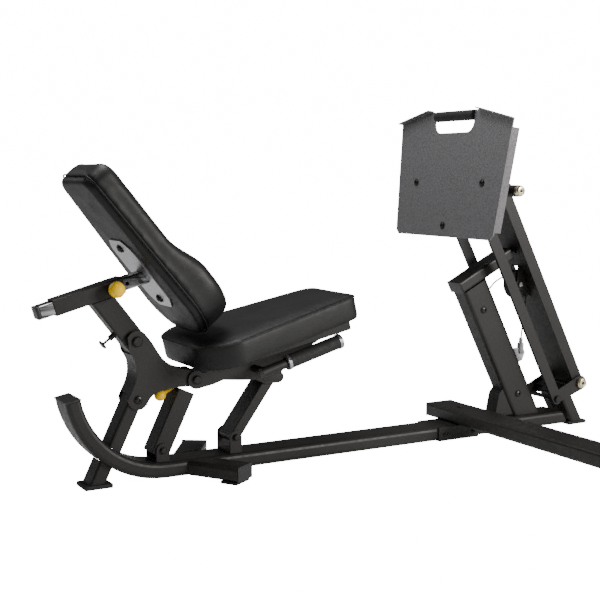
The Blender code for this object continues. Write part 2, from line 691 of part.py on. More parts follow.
def seat_frame():
    """Welded carrier under the pad: a board, two side plates with hinge ears, and two handle bars."""
    top = SEAT_BOTTOM - GAP
    outline = pad_outline((0.500, 0.925), (0.120, 0.145), (0.010, 0.010), steps=2)
    board = slab("seat_frame", BLACK, outline, top - SEAT_BOARD, top, SEAT_FRAME)
    ear_top = [seat_centre(forward, top - SEAT_BOARD + 0.004) for forward in (0.905, 0.510)]
    outline = (arc(SEAT_PIVOT, 0.030, 80, 285, 9)
               + [(0.380, 0.2935), (0.418, 0.3050), (0.470, 0.3000), (0.535, 0.2950)]
               + arc((0.574, 0.298), 0.0190, -120, -90, 2) + arc((0.618, 0.298), 0.0190, -90, 55, 5)
               + [(0.662, 0.352), seat_centre(0.903, 0.238)] + ear_top + [(0.378, 0.3480), (0.356, 0.3345), (0.345, 0.3345)])
    for side in (-1, 1):
        low, high = sorted((side * EAR_INNER, side * EAR_OUTER))
        plate = flat("seat_side_plate", None, outline, low, high)
        drill(plate, SEAT_PIVOT, 0.0083)
        cut(plate, slot_cutter())
        weld(board, plate)
        bar_rear = handle_point(0.585, side * HANDLE_Y)
        bar_front = handle_point(HANDLE_REAR - GAP, side * HANDLE_Y)
        weld(board, rod("handle_bar", None, 0.0160, bar_rear, bar_front, 20))
        stay_out = handle_point(0.600, side * HANDLE_Y)
        stay_in = handle_point(0.600, side * (EAR_INNER + 0.002))
        weld(board, rod("handle_stay", None, 0.0130, stay_out, stay_in, 16))
    return board


def slot_cutter():
    """The slot that the front link's top pin slides in."""
    x, z = LINK_TOP
    outline = stadium((x - 0.022, z), (x + 0.022, z), 0.0088, 0.0088, 6)
    return flat("link_slot", None, outline, -0.2, 0.2)


def grip_and_spool(side, label):
    base = Vector(handle_point(HANDLE_REAR, side * HANDLE_Y))
    direction = Vector((cos(HANDLE_ANGLE), 0, sin(HANDLE_ANGLE)))
    length = HANDLE_FRONT - HANDLE_REAR
    ring, cap = 0.011, 0.014
    spool = turned("handle_spool_" + label, SILVER,
                   [(0.0, length), (COLLAR_R - 0.002, length), (COLLAR_R, length - 0.002),
                    (COLLAR_R, length - cap), (CORE_R, length - cap), (CORE_R, ring), (COLLAR_R, ring),
                    (COLLAR_R, 0.001), (COLLAR_R - 0.001, 0.0), (0.0, 0.0)], base, direction)
    inner, low, high = CORE_R + GAP, ring + GAP, length - cap - GAP
    grip = turned("handle_grip_" + label, RUBBER,
                  [(inner, high), (GRIP_R, high), (GRIP_R, low), (inner, low), (inner, high)], base, direction)
    return spool, grip


def front_link():
    """The short tube under the seat, on a pin at each end."""
    foot, top = Vector(LINK_FOOT), Vector(LINK_TOP)
    angle = atan2(top.y - foot.y, top.x - foot.x)
    half_width = EAR_INNER - 0.0025
    middle = (foot + top) / 2
    length = (top - foot).length - 0.006
    link = box("front_link", BLACK, (0.036, 2 * half_width, length), (middle.x, 0, middle.y),
               (0, pi / 2 - angle, 0), bevel=0.003)
    inside = half_width - 0.0004
    eye, head = [rod("link_end", None, 0.0184, (x, -inside, z), (x, inside, z))
                 for x, z in (LINK_FOOT, LINK_TOP)]
    pin = rod("link_pin", None, 0.0080, (LINK_TOP[0], -EAR_OUTER + 0.0008, LINK_TOP[1]),
              (LINK_TOP[0], EAR_OUTER - 0.0008, LINK_TOP[1]), 16)
    weld(link, eye, head, pin)
    drill(link, LINK_FOOT, 0.0063)
    return link


# ---------------------------------------------------------------- press side, fixed
def post():
    """The leaning post, cut flat at the rail and square-nosed at its foot."""
    length = 0.62
    down = (POST_TOP[0] + length / 2 * sin(POST_LEAN), POST_TOP[1] - length / 2 * cos(POST_LEAN))
    body = tube("post", BLACK, POST_SECTION, length, (down[0], 0, down[1]), (0, -POST_LEAN, 0), corner=0.012)
    shoe = [(1.645, RAIL_TOP + GAP + 0.004), (1.547, RAIL_TOP + GAP + 0.004)] + blend(
        [(1.545, 0.078), (1.550, 0.105), (1.556, 0.130), (1.562, 0.150), (1.590, 0.176)], 3)
    weld(body, flat("post_shoe", None, shoe, -0.0300, 0.0300))
    cut(body, box("post_floor", None, (0.8, 0.3, 0.3), (1.6, 0, RAIL_TOP + GAP - 0.15)))
    x, z = CABLE_ROUTE[1]
    cut(body, rod("cable_hole", None, 0.0070, (x - 0.02, 0, z - 0.016), (x + 0.03, 0, z + 0.024), 16))
    return body


def stop_tube():
    """The tube across the post's top that the arms rest against, square to the post."""
    x, z = along(STOP_START, POST_LEAN, STOP_LENGTH / 2)
    return tube("stop_tube", BLACK, (0.046, POST_SECTION[1]), STOP_LENGTH, (x, 0, z + GAP),
                (0, pi / 2 - POST_LEAN, 0), corner=0.010)


def stop_bumper():
    start = along(STOP_START, POST_LEAN, STOP_LENGTH + GAP)
    direction = (cos(POST_LEAN), 0, sin(POST_LEAN))
    profile = [(0.0, 0.0200), (0.009, 0.0200), (0.011, 0.018), (0.017, 0.006), (0.017, 0.0), (0.0, 0.0)]
    return turned("stop_bumper", RUBBER, profile, (start[0], 0, start[1] + GAP), direction)


def cross_tube():
    length = CROSS_FAR_Y - CROSS_NEAR_Y
    z = (RAIL_TOP + 0.110) / 2 + GAP
    centre = (CROSS_X, (CROSS_FAR_Y + CROSS_NEAR_Y) / 2, z)
    return tube("cross_tube", BLACK, (0.120, 0.050 - GAP), length, centre, (pi / 2, 0, 0), corner=0.010)


def side_mount_plate():
    """The flat plate on the cross tube's near end, where the weight stack's frame bolts on."""
    z = (RAIL_TOP + 0.110) / 2 + GAP
    return box("side_mount_plate", BLACK, (0.180, 0.008, 0.110), (CROSS_X, CROSS_NEAR_Y - 0.004 - GAP, z))


def rail_bracket():
    """Side plates under the cross tube that clamp the end of the seat's rail."""
    inner = RAIL_HALF_WIDTH + GAP
    plate = box("rail_bracket", BLACK, (0.176, 2 * (inner + PLATE), 0.050), (1.348, 0, 0.0345))
    cut(plate, box("bracket_slot", None, (0.3, 2 * inner, 0.080), (1.348, 0, RAIL_BOTTOM - GAP + 0.040)))
    return plate


def right_base():
    """The short rail under the post."""
    length = 0.420
    start = RAIL_END_X + GAP
    rail = tube("press_base_rail", BLACK, (RAIL_TOP - RAIL_BOTTOM, 2 * RAIL_HALF_WIDTH), length,
                (start + length / 2, 0, (RAIL_TOP + RAIL_BOTTOM) / 2), (0, pi / 2, 0), corner=0.014)
    cut(rail, box("base_end", None, (0.2, 0.3, 0.4), (1.8935 - GAP + 0.04, 0, 0.1), (0, -RIGHT_LEAN, 0)))
    return rail


def right_leg():
    """The leaning leg at the press end, with the cross head that the link plates sit on."""
    head = (1.850, 0.138)
    foot = (RIGHT_FOOT_X, 0.0)
    lean = atan2(foot[0] - head[0], head[1] - foot[1])
    length = 0.15
    middle = ((head[0] + foot[0]) / 2, (head[1] + foot[1]) / 2)
    section = (0.050, 2 * RAIL_HALF_WIDTH)
    leg = tube("right_leg", BLACK, section, length, (middle[0], 0, middle[1]), (0, -lean, 0),
               corner=0.010)
    tilt = atan2(ARM_FOOT[1] - FRONT_ARM_FOOT[1], ARM_FOOT[0] - FRONT_ARM_FOOT[0])
    crosshead = box("leg_head", None, (0.040, 2 * (LINK_PLATE_Y[0] - GAP), 0.034), (head[0], 0, head[1]),
                    (0, -tilt, 0))
    weld(leg, crosshead)
    cut(leg, box("right_leg_floor", None, (0.4, 0.3, 0.1), (1.9, 0, 0.014 + GAP - 0.05)))
    return leg


def link_plates():
    plates = []
    for side, name in ((-1, "link_plate_near"), (1, "link_plate_far")):
        low, high = sorted((side * LINK_PLATE_Y[0], side * LINK_PLATE_Y[1]))
        plate = flat(name, BLACK, stadium(FRONT_ARM_FOOT, ARM_FOOT, 0.022, 0.028), low, high)
        drill(plate, FRONT_ARM_FOOT, 0.0083)
        drill(plate, ARM_FOOT, 0.0123)
        plates.append(plate)
    return plates


# ---------------------------------------------------------------- press side, moving
def arm_point(along_arm, in_front=0.0):
    """(x, z) on the back arm: distance up from its lower pin, and distance towards the seat."""
    return (ARM_FOOT[0] - along_arm * sin(ARM_LEAN) - in_front * cos(ARM_LEAN),
            ARM_FOOT[1] + along_arm * cos(ARM_LEAN) - in_front * sin(ARM_LEAN))


def arm_height(point):
    """How far up the back arm an (x, z) point is."""
    return (ARM_FOOT[0] - point[0]) * sin(ARM_LEAN) + (point[1] - ARM_FOOT[1]) * cos(ARM_LEAN)


def arm_box(name, low, high, half_width, front_low, front_high):
    x, z = arm_point((low + high) / 2, (front_low + front_high) / 2)
    return box(name, None, (front_high - front_low, 2 * half_width, high - low), (x, 0, z), (0, -ARM_LEAN, 0))


def back_arm():
    """A channel, open to the front machine end, with a bearing tube across each end and a pulley fork."""
    depth, wall = 0.0225, 0.005
    low, high = 0.014, ARM_LENGTH - 0.012
    arm = arm_box("back_arm", low, high, ARM_HALF_WIDTH, -depth, depth)
    finish(arm, BLACK)
    cut(arm, arm_box("arm_hollow", low - 0.1, high + 0.1, ARM_HALF_WIDTH - wall, -depth - 0.1, depth - wall))
    at = arm_height(PULLEY_CENTRE)
    cut(arm, arm_box("pulley_window", at - 0.064, at + 0.064, 0.0145, -0.1, 0.1))
    for side in (-1, 1):
        low_y, high_y = sorted((side * 0.0150, side * 0.0200))
        roots = [arm_point(at + step, depth - wall + 0.002) for step in (-0.075, 0.075)]
        tip = degrees(pi + ARM_LEAN)
        outline = arc(PULLEY_CENTRE, 0.020, tip - 75, tip + 75, 8) + roots
        weld(arm, flat("pulley_cheek", None, outline, low_y, high_y))
    for point, outer, bore in ((ARM_FOOT, 0.024, 0.0123), (ARM_TOP, 0.0235, 0.0123)):
        weld(arm, rod("arm_bearing", None, outer, (point[0], -BEARING_HALF, point[1]),
                      (point[0], BEARING_HALF, point[1])))
        drill(arm, point, bore)
    drill(arm, PULLEY_CENTRE, 0.0063)
    return arm


def pulley():
    half, groove = 0.0120, PULLEY_GROOVE_R
    profile = [(0.0065, half), (PULLEY_R - 0.003, half), (PULLEY_R, half - 0.002), (PULLEY_R, 0.0085),
               (groove, 0.0030), (groove, -0.0030), (PULLEY_R, -0.0085), (PULLEY_R, -half + 0.002),
               (PULLEY_R - 0.003, -half), (0.0065, -half), (0.0065, half)]
    return turned("pulley", PLASTIC, profile, (PULLEY_CENTRE[0], 0, PULLEY_CENTRE[1]), (0, 1, 0), 32)


def front_arms():
    arms = []
    for side, name in ((-1, "front_arm_near"), (1, "front_arm_far")):
        low, high = sorted((side * FRONT_ARM_Y[0], side * FRONT_ARM_Y[1]))
        arm = flat(name, BLACK, stadium(FRONT_ARM_FOOT, FRONT_ARM_TOP, 0.021, 0.021), low, high)
        drill(arm, FRONT_ARM_FOOT, 0.0083)
        drill(arm, FRONT_ARM_TOP, 0.0083)
        arms.append(arm)
    return arms


def plate_point(height, behind=0.0):
    """(x, z) on the foot plate: up its face, and behind its front face."""
    return (PLATE_FOOT[0] + height * sin(PLATE_LEAN) + behind * cos(PLATE_LEAN),
            PLATE_FOOT[1] + height * cos(PLATE_LEAN) - behind * sin(PLATE_LEAN))


def plate_box(name, y_low, y_high, h_low, h_high, behind_low, behind_high):
    x, z = plate_point((h_low + h_high) / 2, (behind_low + behind_high) / 2)
    return box(name, None, (behind_high - behind_low, y_high - y_low, h_high - h_low),
               (x, (y_low + y_high) / 2, z), (0, PLATE_LEAN, 0))


def carriage():
    """The frame between the foot plate and the arms: two side plates, a cross bar and a centre bar."""
    back = PLATE_THICKNESS + GAP
    low, high = CARRIAGE_BAR_H - 0.025, CARRIAGE_BAR_H + 0.025
    bar = plate_box("carriage", -0.215, 0.215, low, high, back, back + 0.008)
    finish(bar, BLACK)
    weld(bar, plate_box("carriage_centre_bar", -0.025, 0.025, 0.020, CARRIAGE_BAR_H, back, back + 0.008))
    front_low = plate_point(CARRIAGE_BAR_H - 0.075, back + 0.004)
    front_high = plate_point(CARRIAGE_BAR_H + 0.025, back + 0.004)
    lobes = arc(FRONT_ARM_TOP, 0.026, -110, -70, 3) + arc(ARM_TOP, 0.030, -60, 90, 8)
    outline = [front_high, front_low] + lobes
    for side in (-1, 1):
        low, high = sorted((side * LINK_PLATE_Y[0], side * LINK_PLATE_Y[1]))
        cheek = flat("carriage_side", None, outline, low, high)
        weld(bar, cheek)
        boss = rod("carriage_boss", None, 0.0210, (ARM_TOP[0], side * (LINK_PLATE_Y[1] - 0.001), ARM_TOP[1]),
                   (ARM_TOP[0], side * 0.1480, ARM_TOP[1]))
        weld(bar, boss)
    drill(bar, ARM_TOP, 0.0123)
    drill(bar, FRONT_ARM_TOP, 0.0083)
    return bar


def foot_plate():
    """Folded sheet: a flared plate with a grip notch, two rear side flanges and two top lips."""
    half = [(0.272, 0.0), (0.288, 0.016), (0.324, 0.410), (0.324, 0.412), (0.140, 0.452), (0.1135, 0.448)]
    notch = arc((0.078, 0.4075), 0.0355, 0, -90, 8)
    right = half + notch
    outline = right + [(-y, h) for y, h in reversed(right)]
    matrix = Matrix.Translation((PLATE_FOOT[0], 0, PLATE_FOOT[1])) @ frame(
        (0, -1, 0), (sin(PLATE_LEAN), 0, cos(PLATE_LEAN)), (-cos(PLATE_LEAN), 0, sin(PLATE_LEAN)))
    plate = slab("foot_plate", GREY, outline, -PLATE_THICKNESS, 0.0, matrix)
    for side in (-1, 1):
        tilt = atan2(0.039, 0.394)
        flange = box("side_flange", None, (FLANGE_DEPTH, 0.004, 0.358), (0, 0, 0))
        x, z = plate_point(0.205, FLANGE_DEPTH / 2)
        turn = Matrix.Rotation(PLATE_LEAN, 4, 'Y') @ Matrix.Rotation(-side * tilt, 4, 'X')
        flange.matrix_world = Matrix.Translation((x, side * (0.2996 - 0.0022), z)) @ turn
        weld(plate, flange)
        lip_angle = atan2(0.040, 0.180)
        lip = box("top_lip", None, (0.026, 0.1900, 0.004), (0, 0, 0))
        x, z = plate_point(0.4325, -0.0085)
        turn = Matrix.Rotation(PLATE_LEAN, 4, 'Y') @ Matrix.Rotation(-side * lip_angle, 4, 'X')
        lip.matrix_world = Matrix.Translation((x, side * 0.2300, z)) @ turn
        weld(plate, lip)
    return plate


def foot_handle():
    x, z = plate_point(0.432, 0.004)
    half = 0.1110
    profile = [(0.0, 2 * half), (0.017, 2 * half), (0.0185, 2 * half - 0.002), (0.0185, 0.002), (0.017, 0.0),
               (0.0, 0.0)]
    return turned("foot_handle", RUBBER, profile, (x, -half, z), (0, 1, 0))


# ---------------------------------------------------------------- cable
def cable():
    """From inside the post, over the pulley, down to the swivel."""
    wrap_r = PULLEY_GROOVE_R + CABLE_R + GAP
    wrap = arc(PULLEY_CENTRE, wrap_r, 118, -6, 12)
    lower = [(1.7035, 0.510), (1.6975, 0.455), (1.6905, 0.400), CABLE_ANCHOR]
    points = blend(CABLE_ROUTE + wrap + lower, 3)
    curve = bpy.data.curves.new("cable", 'CURVE')
    curve.dimensions = '3D'
    curve.bevel_depth = CABLE_R
    curve.bevel_resolution = 2
    curve.use_fill_caps = True
    spline = curve.splines.new('POLY')
    spline.points.add(len(points) - 1)
    for point, (x, z) in zip(spline.points, points):
        point.co = (x, 0.0, z, 1.0)
    return add("cable", curve, PLASTIC)


def cable_swivel():
    """Bracket on the post with the swivel that the cable ends in."""
    x, z = CABLE_ANCHOR
    top = z - GAP
    swivel = turned("cable_swivel", SILVER,
                    [(0.0, 0.060), (0.006, 0.060), (0.0075, 0.056), (0.0075, 0.042), (0.0125, 0.038),
                     (0.0125, 0.006), (0.010, 0.0), (0.0, 0.0)],
                    (x - 0.004, 0, top - 0.060), (0.06, 0, 1.0), 20)
    slope = sin(POST_LEAN) / cos(POST_LEAN)
    face_x = POST_TOP[0] + (POST_TOP[1] - 0.300) * slope + POST_SECTION[0] / 2 / cos(POST_LEAN)
    edge = face_x + 0.0006
    outline = [(edge + 0.050 * slope, 0.250), (edge + 0.058, 0.262), (edge + 0.070, 0.290),
               (edge + 0.062, 0.3095), (edge - 0.0095 * slope, 0.3095)]
    tab = flat("swivel_tab", None, outline, -0.004, 0.004)
    weld(swivel, tab)
    return swivel


# ---------------------------------------------------------------- assembly
def build():
    main_rail()
    tail_end_cap()
    rear_leg()
    box("rear_foot_pad", RUBBER, (0.090, 0.088, 0.014), (0, 0, 0.007), bevel=0.003)
    front_leg(-1, "front_leg_near")
    front_leg(1, "front_leg_far")
    seat_upright()
    gusset_plates()
    gusset_web()
    seat_brace()
    foot = tail_foot(TAIL_CENTRE[0], BRACE_FOOT[0] - 0.022)
    clevis("brace_clevis", BRACE_FOOT, 0.0385, 0.044, foot)
    clevis("link_clevis", LINK_FOOT, EAR_INNER - 0.0022, 0.042)
    through_bolt("brace_bolt", BLACK, BRACE_FOOT, 0.0525, 0.0060, 0.0105)
    through_bolt("link_bolt", BLACK, LINK_FOOT, 0.0590, 0.0060, 0.0105)
    through_bolt("mast_pivot_bolt", BLACK, MAST_PIVOT, 0.0530, 0.0080, 0.0160)
    through_bolt("seat_pivot_bolt", BLACK, SEAT_PIVOT, 0.0610, 0.0080, 0.0140)

    mast_axis = pivot("mast_axis", MAST_PIVOT)
    mast, sleeve = back_mast(), adjuster_sleeve()
    x, z = sleeve_point(SLEEVE_PIN_AT)
    pin_base = (x, -SLEEVE_SECTION[1] / 2 - GAP - 0.001, z)
    sleeve_pin = pull_pin("sleeve_pin", YELLOW, pin_base, (0, -1, 0), 0.0055, 0.0255, 0.034)
    pin = mast_point(MAST_PIN_UP, MAST_SECTION[0] / 2 + 0.0005)
    outward = (-cos(MAST_LEAN), 0, -sin(MAST_LEAN))
    mast_pin = turned("mast_pin", PLASTIC,
                      [(0.0, 0.050), (0.013, 0.050), (0.016, 0.047), (0.016, 0.044), (0.004, 0.041),
                       (0.004, 0.018), (0.0090, 0.018), (0.0090, -0.010), (0.005, -0.012), (0.005, -0.020),
                       (0.0, -0.020)], (pin[0], 0, pin[1]), outward, 20)
    tube_, leaf, board, pad = adjuster_tube(), back_leaf(), back_board(), back_pad()
    hang(mast_axis, mast, sleeve, sleeve_pin, mast_pin, tube_, leaf, board, pad)

    seat_axis = pivot("seat_axis", SEAT_PIVOT)
    hang(seat_axis, seat_frame(), seat_pad(), *grip_and_spool(-1, "near"), *grip_and_spool(1, "far"))
    hang(pivot("link_axis", LINK_FOOT), front_link())
    pull_pin("seat_pin", YELLOW, SEAT_PIN_BASE, SEAT_PIN_OUT, 0.026, 0.0190, 0.026)

    cross_tube()
    side_mount_plate()
    rail_bracket()
    right_base()
    right_leg()
    box("right_foot_pad", RUBBER, (0.090, 0.110, 0.014), (RIGHT_FOOT_X, 0, 0.007), bevel=0.003)
    post()
    stop_tube()
    stop_bumper()
    link_plates()
    through_bolt("lower_axle", GOLD, ARM_FOOT, 0.0990, 0.0120, 0.0210, 0.0130)
    through_bolt("front_axle", BLACK, FRONT_ARM_FOOT, 0.1060, 0.0080, 0.0135)

    arm = back_arm()
    wheel = pulley()
    wheel_bolt = through_bolt("pulley_bolt", SILVER, PULLEY_CENTRE, 0.0280, 0.0060, 0.0100)
    arm_axis = pivot("back_arm_axis", ARM_FOOT)
    hang(arm_axis, arm, wheel_bolt)
    hang(pivot("pulley_axis", PULLEY_CENTRE), wheel)
    hang(pivot("front_arm_axis", FRONT_ARM_FOOT), *front_arms())
    carrier = carriage()
    upper = through_bolt("upper_axle", GOLD, ARM_TOP, 0.1660, 0.0120, 0.0200, 0.0170)
    carrier_bolt = through_bolt("carriage_axle", BLACK, FRONT_ARM_TOP, 0.1060, 0.0080, 0.0135)
    hang(pivot("carriage_axis", ARM_TOP), carrier, upper, carrier_bolt, foot_plate(), foot_handle())

    cable()
    cable_swivel()


build()
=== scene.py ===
"""Looks for the leg press machine: vinyl pads, powder coat, hammertone plate, bolts, cable, light, camera.

Everything is in metres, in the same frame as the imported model. Pieces take their places from the CAD nodes.
"""
import json
from math import cos, pi, radians, sin

import bmesh
import bpy
from mathutils import Matrix, Vector


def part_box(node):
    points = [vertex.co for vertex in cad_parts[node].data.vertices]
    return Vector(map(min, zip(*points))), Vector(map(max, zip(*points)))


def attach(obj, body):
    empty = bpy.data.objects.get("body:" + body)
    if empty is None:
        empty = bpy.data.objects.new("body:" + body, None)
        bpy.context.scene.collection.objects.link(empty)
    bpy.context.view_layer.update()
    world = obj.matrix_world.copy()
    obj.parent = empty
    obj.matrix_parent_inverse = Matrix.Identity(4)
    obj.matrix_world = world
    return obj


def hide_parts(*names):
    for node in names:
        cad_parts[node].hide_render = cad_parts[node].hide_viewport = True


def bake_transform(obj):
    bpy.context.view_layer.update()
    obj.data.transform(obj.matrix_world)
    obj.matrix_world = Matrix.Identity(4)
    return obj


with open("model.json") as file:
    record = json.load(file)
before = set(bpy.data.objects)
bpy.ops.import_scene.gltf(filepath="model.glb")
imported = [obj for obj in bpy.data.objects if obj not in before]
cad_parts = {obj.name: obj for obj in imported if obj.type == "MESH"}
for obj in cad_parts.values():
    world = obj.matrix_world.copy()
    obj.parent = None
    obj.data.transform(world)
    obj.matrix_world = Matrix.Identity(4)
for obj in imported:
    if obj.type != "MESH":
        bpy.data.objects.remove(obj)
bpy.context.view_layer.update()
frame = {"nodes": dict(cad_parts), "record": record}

# ---------------------------------------------------------------- driving values
LEG_SPLAY = radians(57.0)
BACK = Matrix.Rotation(radians(51.5), 4, 'Y')        # X down the back rest, Z out of its front
SEAT = Matrix.Rotation(radians(-13.2), 4, 'Y')       # X up the seat's slope, Z out of its top
HANDLE = Matrix.Rotation(radians(-16.0), 4, 'Y')
SLEEVE = Matrix.Rotation(radians(-15.5), 4, 'Y')
STOP = Matrix.Rotation(radians(-27.0), 4, 'Y')
PLATE = Matrix.Rotation(radians(7.2), 4, 'Y')        # Z up the foot plate

CAMERA_PLACE = (-1.1414, -3.3313, 0.961)
CAMERA_YAW = radians(60.707)          # of its level view direction, from +X towards +Y
CAMERA_PITCH = radians(-6.271)
CAMERA_LENS = 68.83

SIDES = (("near", -1), ("far", 1))    # each side's name and the sign of its Y

BACK_CORNERS = (0.055, 0.140)         # corner radius at the pad's top and its end
BACK_THICKNESS = 0.071                # of the back cushion, before its roll and its crown
LUMBAR_START = 0.300                  # from the pad's top to where the lumbar roll starts to rise
LUMBAR_RISE = 0.150                   # the length that it rises over
LUMBAR_HEIGHT = 0.036
BACK_CROWN = 0.006                    # across the width
BOARD_INSET = 0.008                   # of the back board's corners from the pad's
SEAT_CORNERS = (0.120, 0.045)         # corner radius at the seat's rear and its front
SEAT_SIDE = 0.0747                    # height of the seat's side, up to its piping
SEAT_RIM = 0.010                      # from the piping up to the flat top
SEAT_CROWN = 0.004                    # of the top above that
PIPING_R = 0.0026
VOXEL = 0.006
STEPS = 18                            # frames of cloth
PUFF = 0.004                          # the farthest that a pad's skin swells

LEAF_BOLT_SPAN = 0.102                # of the leaf plate's bolts from its middle
BOSS = (0.130, 0.267)                 # (x, z) of the gusset plates' lower bolt
POST_BOLTS = ((1.474, 0.468), (1.642, 0.143))
PLATE_SCREWS = ((-0.197, 0.0), (0.190, 0.0), (0.0, -0.153))   # y, and height from the upper pair
PLATE_SCREW_LEVEL = (1.33, 0, 0.930)  # a point level with the upper pair
PLATE_AHEAD = 0.0056                  # of the carriage's bar: the foot plate's thickness and its gap
BAR_END = 0.20                        # only the carriage's bar reaches farther out than this
SLOT = (0.572, 0.620, 0.298)          # the seat's slots: x of the two round ends, and z
SLOT_COVER_R = 0.0125
EAR_OUTER = 0.0518                    # outer face of the seat's side plates, from the middle plane

CABLE_R = 0.0030
GROOVE_R = 0.0470                     # of the pulley's groove
GROOVE_GAP = 0.0003                   # between the groove and the cable
POST_SIDE = [(1.478, 0, 0.490), (1.512, 0, 0.5255), (1.533, 0, 0.545), (1.565, 0, 0.570)]
DOWN_SIDE = [(1.6905, 0, 0.400), (1.6975, 0, 0.455), (1.7035, 0, 0.510)]
SWIVEL_X = 1.684
GROMMET = (1.5105, 0, 0.5240)
GROMMET_OUT = (0.75, 0, 0.66)

FLOOR_GLOW = 16.0                     # as the eye sees the paper; it lights nothing
BACKDROP_STRENGTH = 16.0
WORLD_STRENGTH = 0.13


def make_camera():
    data = bpy.data.cameras.new("camera")
    data.lens = CAMERA_LENS
    data.sensor_width = 36.0
    camera = bpy.data.objects.new("camera", data)
    bpy.context.scene.collection.objects.link(camera)
    camera.location = CAMERA_PLACE
    camera.rotation_euler = (pi / 2 + CAMERA_PITCH, 0, CAMERA_YAW - pi / 2)
    bpy.context.scene.camera = camera


make_camera()


# ---------------------------------------------------------------- materials
class Nodes:
    """A short way to build a material's node tree."""

    def __init__(self, name):
        self.material = bpy.data.materials.new(name)
        self.material.use_nodes = True
        self.tree = self.material.node_tree
        self.shader = self.tree.nodes["Principled BSDF"]
        self.place = self.tree.nodes.new("ShaderNodeTexCoord").outputs["Object"]

    def set(self, **sockets):
        for name, value in sockets.items():
            self.shader.inputs[name.replace("_", " ")].default_value = value

    def link(self, start, end):
        self.tree.links.new(start, end)

    def noise(self, scale, detail=3.0, roughness=0.5, stretch=None):
        node = self.tree.nodes.new("ShaderNodeTexNoise")
        node.inputs["Scale"].default_value = scale
        node.inputs["Detail"].default_value = detail
        node.inputs["Roughness"].default_value = roughness
        self.link(self.stretched(stretch), node.inputs["Vector"])
        return node.outputs["Fac"]

    def cells(self, scale, smooth=False):
        node = self.tree.nodes.new("ShaderNodeTexVoronoi")
        node.feature = 'SMOOTH_F1' if smooth else 'F1'
        node.inputs["Scale"].default_value = scale
        self.link(self.place, node.inputs["Vector"])
        return node.outputs["Distance"]

    def stretched(self, stretch):
        if not stretch:
            return self.place
        node = self.tree.nodes.new("ShaderNodeMapping")
        node.inputs["Scale"].default_value = stretch
        self.link(self.place, node.inputs["Vector"])
        return node.outputs["Vector"]

    def spread(self, value, low, high, start=0.0, end=1.0):
        node = self.tree.nodes.new("ShaderNodeMapRange")
        for name, number in (("From Min", start), ("From Max", end), ("To Min", low), ("To Max", high)):
            node.inputs[name].default_value = number
        self.link(value, node.inputs["Value"])
        return node.outputs["Result"]

    def tint(self, value, low, high, start=0.3, end=0.7):
        ramp = self.tree.nodes.new("ShaderNodeValToRGB")
        ramp.color_ramp.elements[0].position = start
        ramp.color_ramp.elements[1].position = end
        ramp.color_ramp.elements[0].color = (*low, 1.0)
        ramp.color_ramp.elements[1].color = (*high, 1.0)
        self.link(value, ramp.inputs["Fac"])
        self.link(ramp.outputs["Color"], self.shader.inputs["Base Color"])

    def rough(self, value, low, high):
        self.link(self.spread(value, low, high, 0.3, 0.7), self.shader.inputs["Roughness"])

    def bump(self, value, strength, distance, before=None):
        node = self.tree.nodes.new("ShaderNodeBump")
        node.inputs["Strength"].default_value = strength
        node.inputs["Distance"].default_value = distance
        self.link(value, node.inputs["Height"])
        if before:
            self.link(before, node.inputs["Normal"])
        return node.outputs["Normal"]

    def normal(self, output):
        self.link(output, self.shader.inputs["Normal"])

    def soft_edges(self, radius):
        node = self.tree.nodes.new("ShaderNodeBevel")
        node.samples = 4
        node.inputs["Radius"].default_value = radius
        return node.outputs["Normal"]


def powder_coat():
    m = Nodes("black_powder_coat")
    m.set(Metallic=0.0, IOR=1.40)
    m.tint(m.noise(7.0, 4.0), (0.0085, 0.0074, 0.0064), (0.0120, 0.0105, 0.0092))
    m.rough(m.noise(60.0, 3.0), 0.40, 0.54)
    fine = m.bump(m.noise(1100.0, 2.0), 0.25, 0.0003, m.soft_edges(0.0016))
    m.normal(m.bump(m.noise(260.0, 2.0), 0.10, 0.0004, fine))
    return m.material


def hardware():
    m = Nodes("black_hardware")
    m.set(Metallic=0.75)
    m.tint(m.noise(160.0), (0.018, 0.017, 0.016), (0.036, 0.034, 0.032))
    m.rough(m.noise(300.0), 0.28, 0.42)
    m.normal(m.bump(m.noise(900.0), 0.15, 0.0002, m.soft_edges(0.0008)))
    return m.material


def rubber():
    m = Nodes("black_rubber")
    m.set(IOR=1.45)
    m.tint(m.noise(45.0), (0.006, 0.006, 0.006), (0.011, 0.011, 0.011))
    m.rough(m.noise(90.0), 0.62, 0.80)
    m.normal(m.bump(m.noise(1400.0, 2.0), 0.35, 0.0003, m.soft_edges(0.0012)))
    return m.material


def plastic():
    m = Nodes("black_plastic")
    m.tint(m.noise(25.0), (0.006, 0.006, 0.006), (0.010, 0.010, 0.0105))
    m.rough(m.noise(120.0), 0.34, 0.48)
    m.normal(m.bump(m.cells(1500.0), 0.20, 0.0002, m.soft_edges(0.0012)))
    return m.material


def vinyl():
    """Upholstery vinyl: pebble grain between shallow creases, with a slow change in sheen."""
    m = Nodes("black_vinyl")
    m.set(IOR=1.36)
    m.tint(m.noise(9.0, 4.0), (0.0050, 0.0048, 0.0048), (0.0085, 0.0082, 0.0082))
    m.rough(m.noise(14.0, 5.0), 0.44, 0.56)
    grain = m.bump(m.cells(620.0, smooth=True), 0.45, 0.0005)
    pores = m.bump(m.noise(1500.0, 2.0), 0.20, 0.0002, grain)
    m.normal(m.bump(m.noise(22.0, 3.0, 0.6, (1.0, 1.0, 1.6)), 0.16, 0.006, pores))
    return m.material


